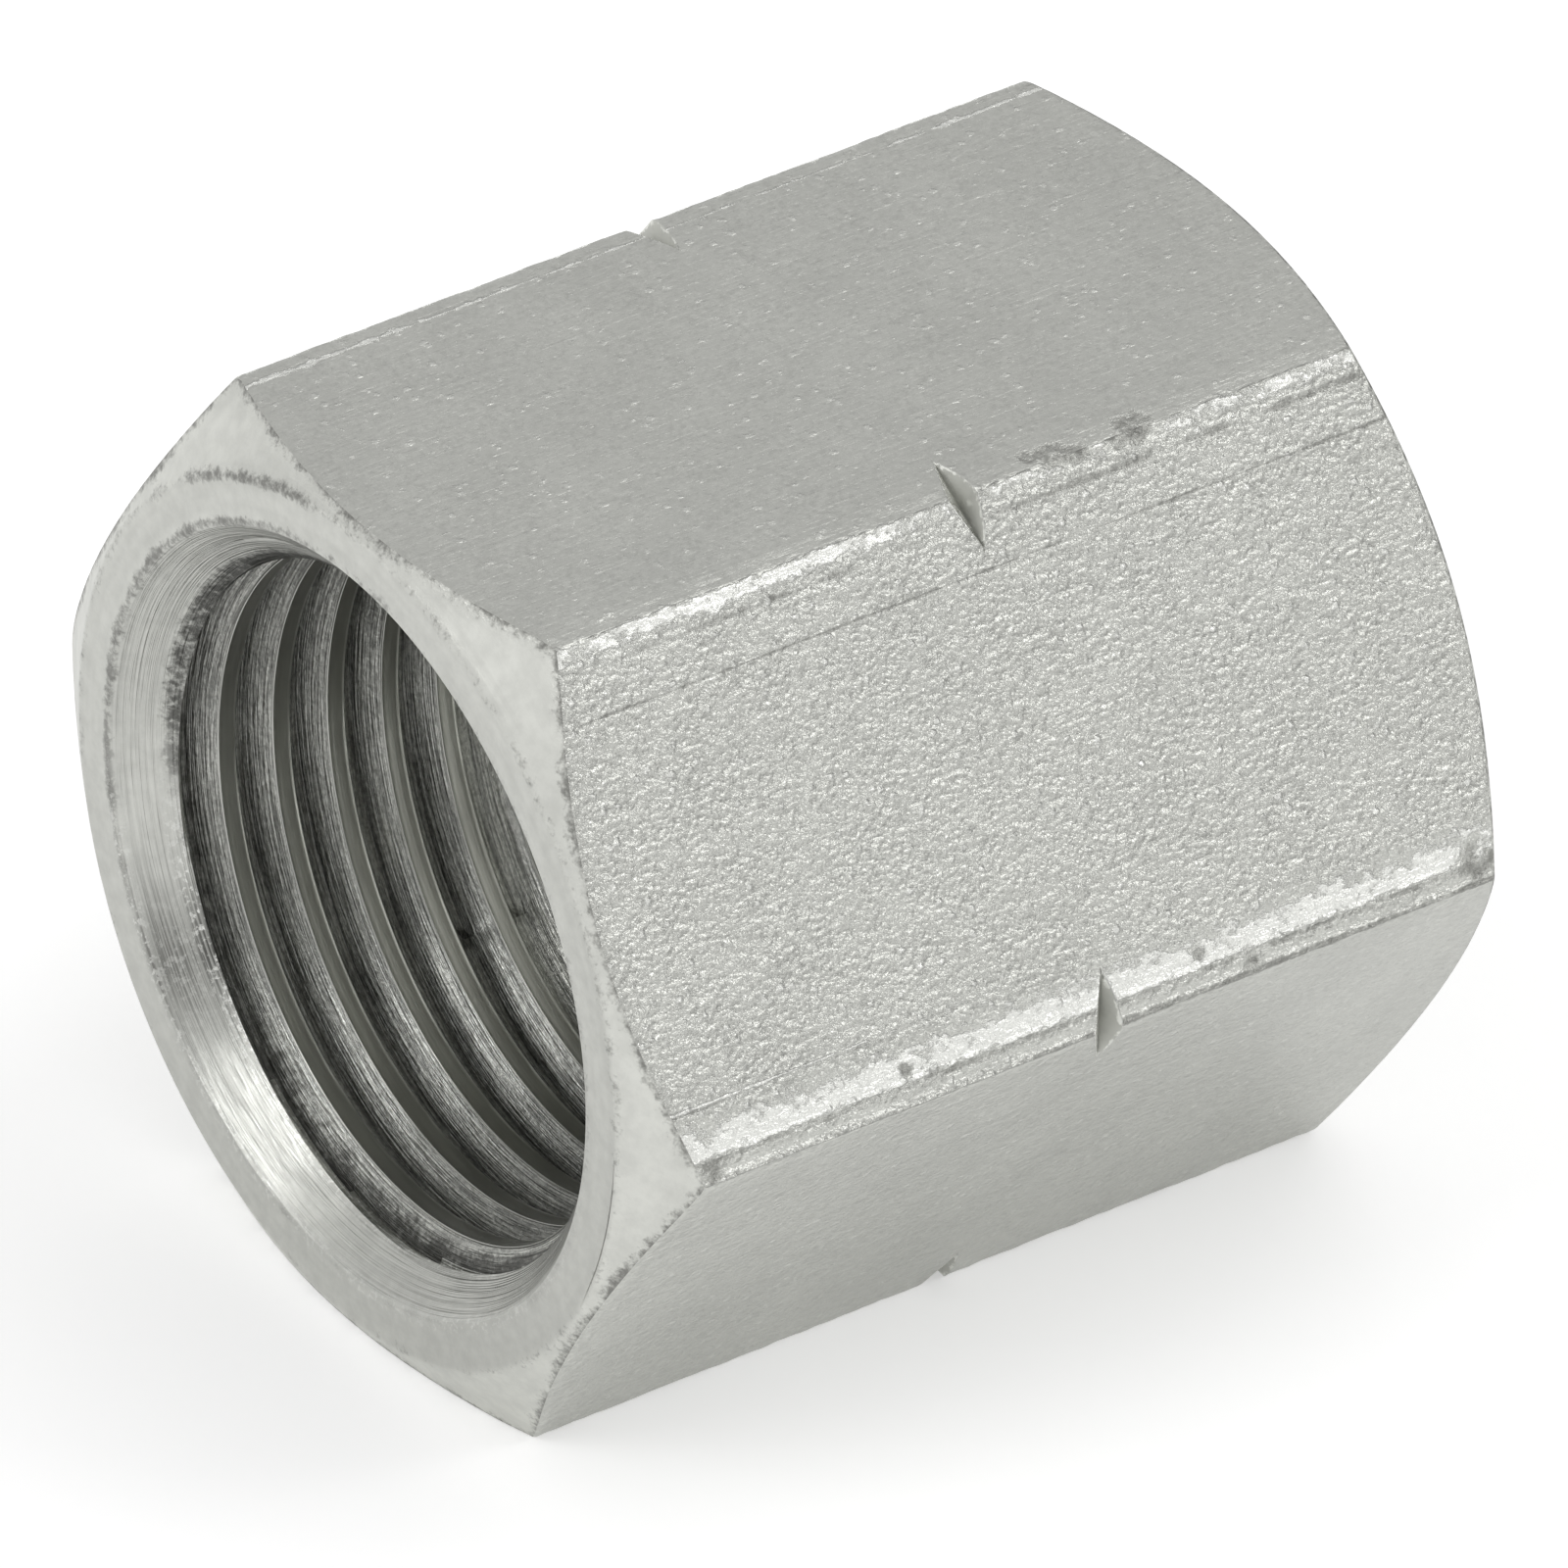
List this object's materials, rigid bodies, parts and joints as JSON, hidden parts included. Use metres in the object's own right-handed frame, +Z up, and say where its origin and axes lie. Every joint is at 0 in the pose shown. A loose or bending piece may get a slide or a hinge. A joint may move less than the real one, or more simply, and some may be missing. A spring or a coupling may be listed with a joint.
{
  "type": "threaded protection cap",
  "caption": "Hexagonal metal cap, closed at one end and tapped at the other, with chamfered ends and a small V-notch across each corner.",
  "frame": {"origin": "middle of the footprint on the surface the cap lies on, which is the centre of the hexagon flat underneath", "axes": "+Z up, square to the flat underneath; Y along the cap's axis, with the mouth towards -Y and the closed end towards +Y"},
  "size_m": [0.0252, 0.024, 0.022],
  "materials": {
    "zinc_plated_steel": "bright zinc plating over drawn hexagon bar, turned at the ends and in the mouth"
  },
  "bodies": {
    "root": {"cap_body": "zinc_plated_steel"}
  },
  "joints": []
}
